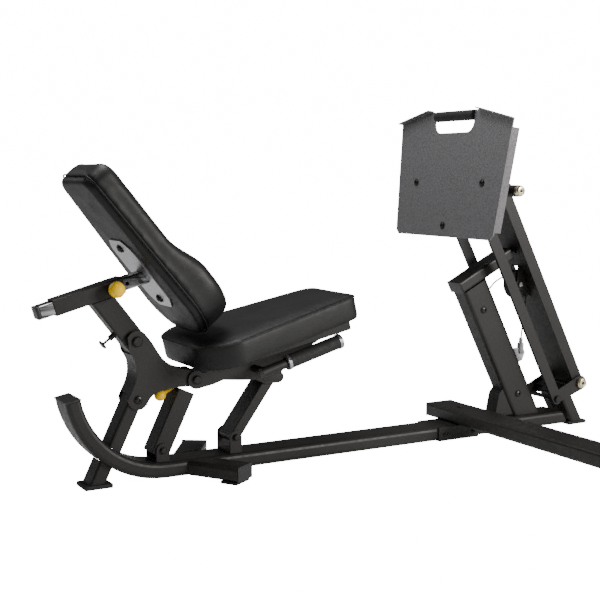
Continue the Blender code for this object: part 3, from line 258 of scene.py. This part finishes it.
def hammertone():
    """Silver grey hammer enamel: small dimples with a bright floor and darker rims."""
    m = Nodes("silver_hammertone")
    m.set(Metallic=0.25, IOR=1.5, Coat_Weight=0.15, Coat_Roughness=0.25)
    m.tint(m.cells(190.0, smooth=True), (0.148, 0.142, 0.149), (0.094, 0.090, 0.095), 0.15, 0.75)
    m.rough(m.noise(180.0), 0.36, 0.50)
    dimples = m.bump(m.cells(190.0, smooth=True), 0.55, 0.0012, m.soft_edges(0.0015))
    m.normal(m.bump(m.noise(700.0), 0.12, 0.0003, dimples))
    return m.material


def chrome():
    m = Nodes("chrome_tube")
    m.set(Metallic=1.0)
    # Painted reflections: the base colour runs in long streaks along the tube, from near black to mid grey,
    # as dark and bright bands of what the chrome mirrors
    m.tint(m.noise(14.0, 2.0, 0.5, (0.5, 5.0, 5.0)), (0.05, 0.05, 0.052), (0.48, 0.48, 0.49), 0.42, 0.68)
    m.rough(m.noise(220.0, 4.0, 0.5, (1.0, 6.0, 6.0)), 0.05, 0.14)
    m.normal(m.bump(m.noise(500.0), 0.02, 0.0002, m.soft_edges(0.0015)))
    return m.material


def brushed(name, low, high, rough_low, rough_high, stretch=(1.0, 14.0, 14.0)):
    m = Nodes(name)
    m.set(Metallic=0.9)
    m.tint(m.noise(70.0, 4.0, 0.6, stretch), low, high)
    m.rough(m.noise(120.0, 3.0, 0.5, stretch), rough_low, rough_high)
    m.normal(m.bump(m.noise(260.0, 3.0, 0.6, stretch), 0.08, 0.0003, m.soft_edges(0.0010)))
    return m.material


def yellow():
    m = Nodes("yellow_knob")
    m.set(Coat_Weight=0.10, Coat_Roughness=0.08, IOR=1.35)
    m.tint(m.noise(40.0), (0.94, 0.560, 0.0), (1.0, 0.610, 0.001))
    m.rough(m.noise(150.0), 0.22, 0.32)
    m.normal(m.bump(m.noise(240.0), 0.03, 0.0003))
    return m.material


LOOKS = {
    "black_powder_coat": powder_coat(),
    "black_hardware": hardware(),
    "black_rubber": rubber(),
    "black_plastic": plastic(),
    "black_vinyl": vinyl(),
    "yellow_knob": yellow(),
    "chrome_tube": chrome(),
    "silver_plate": brushed("silver_plate", (0.30, 0.30, 0.32), (0.42, 0.42, 0.44), 0.26, 0.40),
    "zinc_swivel": brushed("zinc_swivel", (0.34, 0.34, 0.36), (0.50, 0.50, 0.52), 0.28, 0.42,
                           (8.0, 8.0, 1.0)),
    "gold_axle": brushed("gold_axle", (0.60, 0.52, 0.34), (0.74, 0.66, 0.47), 0.20, 0.34,
                         (3.0, 1.0, 3.0)),
    "silver_hammertone": hammertone(),
}


def paint_frame():
    for entry in frame["record"]["subparts"]:
        node = frame["nodes"][entry["node"]]
        for place in node.material_slots:
            place.material = LOOKS[entry["material_slot"]]


paint_frame()


# ---------------------------------------------------------------- piece helpers
def piece(name, mesh, body, slot, smooth_angle=40):
    obj = bpy.data.objects.new(name, mesh)
    bpy.context.scene.collection.objects.link(obj)
    mesh.materials.clear()
    mesh.materials.append(LOOKS[slot])
    if smooth_angle:
        mesh.shade_smooth()
        mesh.set_sharp_from_angle(angle=radians(smooth_angle))
    if body:
        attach(obj, body)
    return obj


def to_mesh(name, bm, matrix=None):
    mesh = bpy.data.meshes.new(name)
    bmesh.ops.recalc_face_normals(bm, faces=bm.faces)
    bm.to_mesh(mesh)
    bm.free()
    if matrix:
        mesh.transform(matrix)
    return mesh


def lathe(name, profile, base, direction, body, slot, steps=32):
    """Turns (radius, height) points about an axis from base along direction."""
    bm = bmesh.new()
    line = [bm.verts.new((max(r, 0.0), 0, h)) for r, h in profile]
    edges = [bm.edges.new(pair) for pair in zip(line, line[1:])]
    bmesh.ops.spin(bm, geom=line + edges, cent=(0, 0, 0), axis=(0, 0, 1), angle=2 * pi, steps=steps)
    bmesh.ops.remove_doubles(bm, verts=bm.verts, dist=0.00002)
    turn = Vector(direction).to_track_quat('Z', 'Y').to_matrix().to_4x4()
    return piece(name, to_mesh(name, bm, Matrix.Translation(base) @ turn), body, slot)


def button_bolt(name, base, direction, radius, height, body, slot="black_hardware"):
    """A domed head with a socket, on a thin washer."""
    washer = 0.0012
    rim, socket = radius * 1.22, radius * 0.42
    dome = [(radius * cos(a), washer + height * (0.35 + 0.65 * sin(a))) for a in (0.0, 0.35, 0.7, 1.0)]
    hollow = [(socket, washer + height), (socket * 0.95, washer + height * 0.35),
              (0.0, washer + height * 0.30)]
    profile = [(0.0, 0.0), (rim, 0.0), (rim, washer), (radius, washer)] + dome + hollow
    return lathe(name, profile, base, direction, body, slot, 24)


def soft_box(name, size, matrix, body, slot, bevel=0.002, segments=3):
    bm = bmesh.new()
    bmesh.ops.create_cube(bm, size=1.0, matrix=Matrix.Diagonal((*size, 1.0)))
    bmesh.ops.bevel(bm, geom=bm.edges[:], offset=bevel, segments=segments, profile=0.6, affect='EDGES')
    return piece(name, to_mesh(name, bm, matrix), body, slot)


def tube_along(name, points, radius, body, slot, closed=False, matrix=None):
    curve = bpy.data.curves.new(name, 'CURVE')
    curve.dimensions = '3D'
    curve.bevel_depth = radius
    curve.bevel_resolution = 3
    curve.use_fill_caps = not closed
    spline = curve.splines.new('POLY')
    spline.points.add(len(points) - 1)
    for knot, point in zip(spline.points, points):
        knot.co = (*point, 1.0)
    spline.use_cyclic_u = closed
    holder = bpy.data.objects.new(name + "_path", curve)
    bpy.context.scene.collection.objects.link(holder)
    bpy.context.view_layer.update()
    mesh = bpy.data.meshes.new_from_object(holder.evaluated_get(bpy.context.evaluated_depsgraph_get()))
    bpy.data.objects.remove(holder, do_unlink=True)
    if matrix:
        mesh.transform(matrix)
    return piece(name, mesh, body, slot, 60)


def smooth_line(points, steps=6):
    """A Catmull-Rom line through the points."""
    line = []
    around = [points[0]] + list(points) + [points[-1]]
    for a, b, c, d in zip(around, around[1:], around[2:], around[3:]):
        a, b, c, d = Vector(a), Vector(b), Vector(c), Vector(d)
        for i in range(steps):
            t = i / steps
            line.append(0.5 * (2 * b + (c - a) * t + (2 * a - 5 * b + 4 * c - d) * t * t
                               + (3 * b - a - 3 * c + d) * t ** 3))
    return line + [Vector(points[-1])]


def local_box(node, matrix):
    """A CAD node's lowest and highest corners along a tilted frame's own axes."""
    inverse = matrix.inverted()
    points = [inverse @ v.co for v in frame["nodes"][node].data.vertices]
    return (Vector([min(p[i] for p in points) for i in range(3)]),
            Vector([max(p[i] for p in points) for i in range(3)]))


def arc(centre, radius, first, last, steps):
    angles = [radians(first + (last - first) * i / steps) for i in range(steps + 1)]
    return [(centre[0] + radius * cos(a), centre[1] + radius * sin(a)) for a in angles]


def pad_outline(ends, halves, corners, inset=0.0, steps=12):
    """A long tapered pad with its own half width and corner radius at each end."""
    a, b = ends[0] + inset, ends[1] - inset
    h, k = halves[0] - inset, halves[1] - inset
    r, s = max(corners[0] - inset, 0.005), max(corners[1] - inset, 0.005)
    return (arc((b - s, -k + s), s, -90, 0, steps) + arc((b - s, k - s), s, 0, 90, steps)
            + arc((a + r, h - r), r, 90, 180, steps) + arc((a + r, -h + r), r, 180, 270, steps))


def pad_size(node, matrix, corners):
    """A tapered CAD pad's two ends along its frame, its half width at each, and its rear and front levels."""
    inverse = matrix.inverted()
    points = [inverse @ v.co for v in frame["nodes"][node].data.vertices]
    start, end = min(p.x for p in points), max(p.x for p in points)
    halves = (max(p.y for p in points if p.x < start + corners[0] + 0.010),
              max(p.y for p in points if p.x > end - corners[1] - 0.010))
    return (start, end), halves, min(p.z for p in points), max(p.z for p in points)


def slab(outline, low, high, front_round, rear_round):
    """A closed block from an outline, its front and rear edges rounded."""
    bm = bmesh.new()
    bottom = [bm.verts.new((a, b, low)) for a, b in outline]
    top = [bm.verts.new((a, b, high)) for a, b in outline]
    for i in range(len(outline)):
        j = (i + 1) % len(outline)
        bm.faces.new((bottom[i], bottom[j], top[j], top[i]))
    bm.faces.new(top)
    bm.faces.new(bottom[::-1])
    bmesh.ops.remove_doubles(bm, verts=bm.verts, dist=0.0005)
    for level, width in ((high, front_round), (low, rear_round)):
        rim = [e for e in bm.edges if all(abs(v.co.z - level) < 1e-6 for v in e.verts)]
        bmesh.ops.bevel(bm, geom=rim, offset=width, segments=5, profile=0.5, affect='EDGES',
                        clamp_overlap=True)
    return bm


# ---------------------------------------------------------------- padded pieces
def voxels(mesh, size):
    holder = bpy.data.objects.new("voxels", mesh)
    bpy.context.scene.collection.objects.link(holder)
    remesh = holder.modifiers.new("voxels", 'REMESH')
    remesh.mode = 'VOXEL'
    remesh.voxel_size = size
    bpy.context.view_layer.update()
    made = bpy.data.meshes.new_from_object(holder.evaluated_get(bpy.context.evaluated_depsgraph_get()))
    bpy.data.objects.remove(holder, do_unlink=True)
    return made


def inflate(obj, held):
    """Puffs a pad out under pressure; held(point) says which points its seams and board keep still."""
    rest = [v.co.copy() for v in obj.data.vertices]
    group = obj.vertex_groups.new(name="held")
    group.add([i for i, point in enumerate(rest) if held(point)], 1.0, 'REPLACE')
    cloth = obj.modifiers.new("cloth", 'CLOTH')
    cloth.settings.vertex_group_mass = "held"
    cloth.settings.use_pressure = True
    cloth.settings.uniform_pressure_force = 4.0
    cloth.settings.quality = 4
    cloth.settings.mass = 0.3
    cloth.settings.tension_stiffness = 12.0
    cloth.settings.compression_stiffness = 12.0
    cloth.settings.bending_stiffness = 1.5
    cloth.settings.effector_weights.gravity = 0.0
    cloth.point_cache.frame_start = 1
    cloth.point_cache.frame_end = STEPS
    for step in range(1, STEPS + 1):
        bpy.context.scene.frame_set(step)
    shown = obj.evaluated_get(bpy.context.evaluated_depsgraph_get()).data
    moved = [v.co.copy() for v in shown.vertices]
    obj.modifiers.remove(cloth)
    obj.vertex_groups.remove(group)
    for vertex, start, end in zip(obj.data.vertices, rest, moved):
        step = end - start
        if step.length > PUFF:
            step *= PUFF / step.length
        vertex.co = start + step
    bpy.context.scene.frame_set(1)


def relax(mesh, rounds):
    bm = bmesh.new()
    bm.from_mesh(mesh)
    for _ in range(rounds):
        bmesh.ops.smooth_vert(bm, verts=bm.verts, factor=0.5, use_axis_x=True, use_axis_y=True,
                              use_axis_z=True)
    bm.to_mesh(mesh)
    bm.free()


def pad(name, node, matrix, bm, shape, held, body):
    """One stuffed pad in a tilted frame: shape(point) moves each point before the stuffing."""
    mesh = voxels(to_mesh(name, bm), VOXEL)
    for vertex in mesh.vertices:
        vertex.co = shape(vertex.co)
    relax(mesh, 2)
    obj = piece(name, mesh, None, "black_vinyl", 0)
    mesh.shade_smooth()
    inflate(obj, held)
    relax(mesh, 5)
    mesh.transform(matrix)
    finer = obj.modifiers.new("finer", 'SUBSURF')
    finer.levels = finer.render_levels = 1
    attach(obj, body)
    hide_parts(node)
    return obj


def back_rest():
    ends, halves, seam, _ = pad_size("back_pad", BACK, BACK_CORNERS)
    front = seam + BACK_THICKNESS
    outline = pad_outline(ends, halves, BACK_CORNERS, 0.002)
    bm = slab(outline, seam + 0.001, front, 0.024, 0.003)
    widest = max(halves)

    def shape(point):
        """A lumbar roll over the lower end, and a crown across the width."""
        share = max(0.0, (point.z - seam) / (front - seam))
        rise = min(1.0, max(0.0, (point.x - ends[0] - LUMBAR_START) / LUMBAR_RISE))
        roll = LUMBAR_HEIGHT * rise * rise * (3.0 - 2.0 * rise)
        crown = BACK_CROWN * (1.0 - (point.y / widest) ** 2)
        return Vector((point.x, point.y, point.z + share * (roll + crown)))

    def held(point):
        return point.z < seam + 0.010

    cushion = pad("back_cushion", "back_pad", BACK, bm, shape, held, "back_rest")
    line = [(a, b, seam + 0.001) for a, b in pad_outline(ends, halves, BACK_CORNERS, 0.0022, 16)]
    tube_along("back_piping", line, PIPING_R, "back_rest", "black_vinyl", True, BACK)


def seat_cushion():
    ends, halves, bottom, _ = pad_size("seat_pad", SEAT, SEAT_CORNERS)
    seam = bottom + SEAT_SIDE
    outline = pad_outline(ends, halves, SEAT_CORNERS, 0.002)
    block = slab(outline, bottom, seam + SEAT_RIM, 0.009, 0.007)
    widest = max(halves)

    def shape(point):
        """A low crown over straight sides."""
        share = max(0.0, (point.z - seam) / SEAT_RIM)
        across = 1.0 - (point.y / widest) ** 2
        along = 1.0 - (2 * (point.x - ends[0]) / (ends[1] - ends[0]) - 1.0) ** 4
        return Vector((point.x, point.y, point.z + share * SEAT_CROWN * across * along))

    def held(point):
        return point.z < bottom + 0.008 or abs(point.z - seam) < 0.006

    cushion = pad("seat_cushion", "seat_pad", SEAT, block, shape, held, "seat")
    line = [(a, b, seam) for a, b in pad_outline(ends, halves, SEAT_CORNERS, 0.0026, 16)]
    tube_along("seat_piping", line, PIPING_R, "seat", "black_vinyl", True, SEAT)


def back_panel():
    """The moulded rear shell of the back rest, that the leaf plate is bolted to."""
    corners = [radius - BOARD_INSET for radius in BACK_CORNERS]
    ends, halves, rear, front = pad_size("back_board", BACK, corners)
    bm = slab(pad_outline(ends, halves, corners, 0.0, 14), rear, front, 0.002, 0.017)
    shell = piece("back_shell", to_mesh("back_shell", bm, BACK), "back_rest", "black_vinyl", 35)
    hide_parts("back_board")


# ---------------------------------------------------------------- small hardware
def leaf_bolts():
    low, high = local_box("back_leaf", BACK)
    middle = (low.x + high.x) / 2
    for i, along in enumerate((middle - LEAF_BOLT_SPAN, middle + LEAF_BOLT_SPAN)):
        base = BACK @ Vector((along, 0, low.z - 0.0002))
        button_bolt(f"leaf_bolt_{i}", base, BACK.to_3x3() @ Vector((0, 0, -1)), 0.0130, 0.0075, "back_rest")


def chrome_plug():
    low, high = local_box("adjuster_tube", SLEEVE)
    size = (0.012, high.y - low.y - 0.0004, high.z - low.z - 0.0004)
    centre = Vector((low.x - 0.0062, 0, (low.z + high.z) / 2))
    soft_box("chrome_plug", size, SLEEVE @ Matrix.Translation(centre), "back_rest", "black_plastic", 0.0035)


def plate_screws():
    face = min((PLATE.inverted() @ v.co).x for v in frame["nodes"]["carriage"].data.vertices
               if abs(v.co.y) > BAR_END) - PLATE_AHEAD
    level = (PLATE.inverted() @ Vector(PLATE_SCREW_LEVEL)).z
    for i, (y, rise) in enumerate(PLATE_SCREWS):
        base = PLATE @ Vector((face - 0.0001, y, level + rise))
        button_bolt(f"plate_screw_{i}", base, PLATE.to_3x3() @ Vector((-1, 0, 0)), 0.0105, 0.0045, "carriage")


def rail_hardware():
    low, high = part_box("rail_bracket")
    z = (low.z + high.z) / 2 - 0.002
    for i, x in enumerate((low.x + 0.030, high.x - 0.022)):
        for label, side in SIDES:
            base = (x, side * high.y, z)
            button_bolt(f"splice_bolt_{label}_{i}", base, (0, side, 0), 0.0085, 0.005, "base")
    low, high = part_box("cross_tube")
    button_bolt("cross_bolt", ((low.x + high.x) / 2, 0.0, high.z), (0, 0, 1), 0.0090, 0.005, "base")
    size = (high.x - low.x - 0.002, 0.006, high.z - low.z - 0.001)
    place = Matrix.Translation(((low.x + high.x) / 2, high.y + 0.0031, (low.z + high.z) / 2))
    soft_box("cross_cap", size, place, "base", "black_plastic", 0.0025)


def gusset_hardware():
    edge = -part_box("gusset_plate_near")[0].y
    for label, side in SIDES:
        base = (BOSS[0], side * edge, BOSS[1])
        button_bolt(f"boss_bolt_{label}", base, (0, side, 0), 0.0125, 0.006, "base")


def leg_caps():
    """Closed plastic ends for the splayed legs, and for the stop tube on the post."""
    for label, side in SIDES:
        points = [v.co for v in frame["nodes"]["front_leg_" + label].data.vertices]
        out = Vector((cos(LEG_SPLAY), side * sin(LEG_SPLAY), 0))
        across = Vector((-out.y, out.x, 0))
        reach = max(p.dot(out) for p in points)
        end = [p for p in points if p.dot(out) > reach - 0.001]
        middle = sum(p.dot(across) for p in end) / len(end)
        width = max(p.dot(across) for p in end) - min(p.dot(across) for p in end)
        low, high = min(p.z for p in end), max(p.z for p in end)
        turn = Matrix((out, across, (0, 0, 1))).transposed().to_4x4()
        centre = out * (reach + 0.0022) + across * middle + Vector((0, 0, (low + high) / 2))
        size = (0.004, width - 0.001, high - low - 0.001)
        soft_box(f"leg_cap_{label}", size, Matrix.Translation(centre) @ turn, "base", "black_plastic", 0.0018)
    low, high = local_box("stop_tube", STOP)
    centre = STOP @ Vector((low.x - 0.0027, 0, (low.z + high.z) / 2))
    size = (0.005, high.y - low.y - 0.001, high.z - low.z - 0.001)
    soft_box("stop_cap", size, Matrix.Translation(centre) @ STOP, "base", "black_plastic", 0.0022)


def post_bolts():
    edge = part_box("post")[1].y
    for i, (x, z) in enumerate(POST_BOLTS):
        for label, side in SIDES:
            base = (x, side * edge, z)
            button_bolt(f"post_bolt_{label}_{i}", base, (0, side, 0), 0.0115, 0.0050, "base")


def axle_faces():
    """Stepped gold faces with a socket on the ends of the long axles."""
    for node, body in (("upper_axle", "carriage"), ("lower_axle", "base")):
        low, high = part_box(node)
        radius = (high.x - low.x) / 2
        face = [(radius * 0.80, 0.0), (radius * 0.80, 0.0016), (radius * 0.72, 0.0024),
                (radius * 0.42, 0.0024), (radius * 0.38, 0.0010), (0.0, 0.0008)]
        socket = [(radius * 0.30, 0.0008), (radius * 0.30, 0.0014), (0.0, 0.0016)]
        for label, side in SIDES:
            base = ((low.x + high.x) / 2, side * (high.y - 0.0006), (low.z + high.z) / 2)
            lathe(f"{node}_face_{label}", face, base, (0, side, 0), body, "gold_axle", 32)
            lathe(f"{node}_socket_{label}", socket, base, (0, side, 0), body, "black_hardware", 6)


def arm_buffers():
    """Chromed buffers on the back arm, on both sides of the rubber stop."""
    low, high = local_box("stop_tube", STOP)
    out = STOP.to_3x3() @ Vector((1, 0, 0))
    profile = [(0.0, 0.0), (0.0105, 0.0), (0.0105, 0.016), (0.0150, 0.016), (0.0150, 0.022), (0.0120, 0.026),
               (0.0, 0.028)]
    for label, side in SIDES:
        base = STOP @ Vector((high.x + 0.0190, side * 0.033, (low.z + high.z) / 2))
        lathe(f"arm_buffer_{label}", profile, base, out, "back_arm", "chrome_tube", 20)


def collar_screws():
    profile = [(0.0, 0.0012), (0.0022, 0.0012), (0.0028, 0.0006), (0.0028, -0.0008)]
    for label, side in SIDES:
        low, high = local_box("handle_spool_" + label, HANDLE)
        radius = (high.z - low.z) / 2
        out = Vector((0, side * cos(0.5), sin(0.5)))
        for i, along in enumerate((low.x + 0.0055, high.x - 0.007)):
            centre = HANDLE @ Vector((along, (low.y + high.y) / 2, (low.z + high.z) / 2))
            base = centre + out * radius
            lathe(f"collar_screw_{label}_{i}", profile, base, out, "seat", "black_hardware", 14)


def slot_covers():
    """Thin plates over the outer ends of the seat's two slots."""
    rear, front, z = SLOT
    outline = arc((rear, z), SLOT_COVER_R, 90, 270, 10) + arc((front, z), SLOT_COVER_R, -90, 90, 10)
    for label, side in SIDES:
        bm = slab(outline, EAR_OUTER + 0.0001, EAR_OUTER + 0.0011, 0.0003, 0.0001)
        upright = Matrix(((1, 0, 0, 0), (0, 0, side, 0), (0, 1, 0, 0), (0, 0, 0, 1)))
        piece(f"slot_cover_{label}", to_mesh("slot_cover", bm, upright), "seat", "black_powder_coat")


def pin_collar():
    """The threaded collar that the sleeve's spring pin slides in."""
    low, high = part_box("sleeve_pin")
    middle = (low + high) / 2
    base = (middle.x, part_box("adjuster_sleeve")[0].y - 0.0001, middle.z)
    profile = [(0.0080, 0.0), (0.0135, 0.0), (0.0135, 0.0075), (0.0120, 0.0090), (0.0080, 0.0090)]
    lathe("sleeve_pin_collar", profile, base, (0, -1, 0), "back_mast", "black_hardware", 6)


def make_strand(name, points, moving):
    strand = tube_along(name, points, CABLE_R, None, "black_plastic")
    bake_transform(strand)
    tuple(moving)


def cable():
    """The coated cable: one strand out of the post, a turn over the pulley, one strand down to the swivel."""
    low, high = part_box("pulley")
    centre = Vector(((low.x + high.x) / 2, 0, (low.z + high.z) / 2))
    wrap_r = GROOVE_R + CABLE_R + GROOVE_GAP
    turn = [(x, 0, z) for x, z in arc((centre.x, centre.z), wrap_r, 118, -6, 24)]
    wrap = tube_along("cable_wrap", turn, CABLE_R, "back_arm", "black_plastic")
    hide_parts("cable")
    make_strand("cable_post_side", smooth_line(POST_SIDE + [turn[0]], 8), turn[0])
    swivel = (SWIVEL_X, 0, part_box("cable_swivel")[1].z)
    make_strand("cable_down_side", smooth_line([swivel] + DOWN_SIDE + [turn[-1]], 8), turn[-1])
    grommet = [(0.0036, -0.002), (0.0068, -0.002), (0.0068, 0.0), (0.0105, 0.0), (0.0105, 0.003),
               (0.0046, 0.0045), (0.0036, 0.0045)]
    lathe("cable_grommet", grommet, GROMMET, GROMMET_OUT, "base", "black_rubber", 20)


# ---------------------------------------------------------------- stage
def floor():
    bm = bmesh.new()
    bmesh.ops.create_grid(bm, x_segments=2, y_segments=2, size=40.0)
    mesh = to_mesh("floor", bm)
    obj = bpy.data.objects.new("floor", mesh)
    bpy.context.scene.collection.objects.link(obj)
    obj.location = (0, 0, -0.0005)
    pale = bpy.data.materials.new("floor")
    pale.use_nodes = True
    shader = pale.node_tree.nodes["Principled BSDF"]
    shader.inputs["Base Color"].default_value = (0.90, 0.90, 0.90, 1.0)
    shader.inputs["Roughness"].default_value = 0.9
    shader.inputs["Specular IOR Level"].default_value = 0.1
    shader.inputs["Emission Color"].default_value = (1.0, 1.0, 1.0, 1.0)
    path = pale.node_tree.nodes.new("ShaderNodeLightPath")
    glow = pale.node_tree.nodes.new("ShaderNodeMapRange")
    glow.inputs["To Min"].default_value = 0.05
    glow.inputs["To Max"].default_value = FLOOR_GLOW
    pale.node_tree.links.new(path.outputs["Is Camera Ray"], glow.inputs["Value"])
    pale.node_tree.links.new(glow.outputs["Result"], shader.inputs["Emission Strength"])
    mesh.materials.append(pale)


def area_light(name, place, target, size, power, colour=(1.0, 1.0, 1.0)):
    data = bpy.data.lights.new(name, 'AREA')
    data.shape = 'RECTANGLE'
    data.size, data.size_y = size
    data.energy = power
    data.color = colour
    light = bpy.data.objects.new(name, data)
    bpy.context.scene.collection.objects.link(light)
    light.location = place
    light.rotation_euler = (Vector(target) - Vector(place)).to_track_quat('-Z', 'Y').to_euler()


def studio():
    world = bpy.data.worlds.new("studio")
    world.use_nodes = True
    tree = world.node_tree
    soft = tree.nodes["Background"]
    soft.inputs["Color"].default_value = (1.0, 1.0, 1.0, 1.0)
    soft.inputs["Strength"].default_value = WORLD_STRENGTH
    backdrop = tree.nodes.new("ShaderNodeBackground")
    backdrop.inputs["Color"].default_value = (1.0, 1.0, 1.0, 1.0)
    backdrop.inputs["Strength"].default_value = BACKDROP_STRENGTH
    path = tree.nodes.new("ShaderNodeLightPath")
    mix = tree.nodes.new("ShaderNodeMixShader")
    tree.links.new(path.outputs["Is Camera Ray"], mix.inputs["Fac"])
    tree.links.new(soft.outputs["Background"], mix.inputs[1])
    tree.links.new(backdrop.outputs["Background"], mix.inputs[2])
    tree.links.new(mix.outputs["Shader"], tree.nodes["World Output"].inputs["Surface"])
    bpy.context.scene.world = world
    area_light("key", (3.6, -4.0, 2.2), (1.1, 0.0, 0.6), (1.8, 1.8), 310.0, (1.0, 0.985, 0.96))
    area_light("top", (0.2, 0.3, 3.6), (0.6, 0.0, 0.4), (2.6, 1.4), 115.0)
    area_light("rim", (-1.6, 2.8, 2.4), (0.2, 0.0, 0.6), (1.4, 1.4), 14.0, (0.97, 0.985, 1.0))


back_rest()
back_panel()
seat_cushion()
leaf_bolts()
chrome_plug()
plate_screws()
rail_hardware()
gusset_hardware()
leg_caps()
post_bolts()
axle_faces()
arm_buffers()
collar_screws()
pin_collar()
slot_covers()
cable()
floor()
studio()
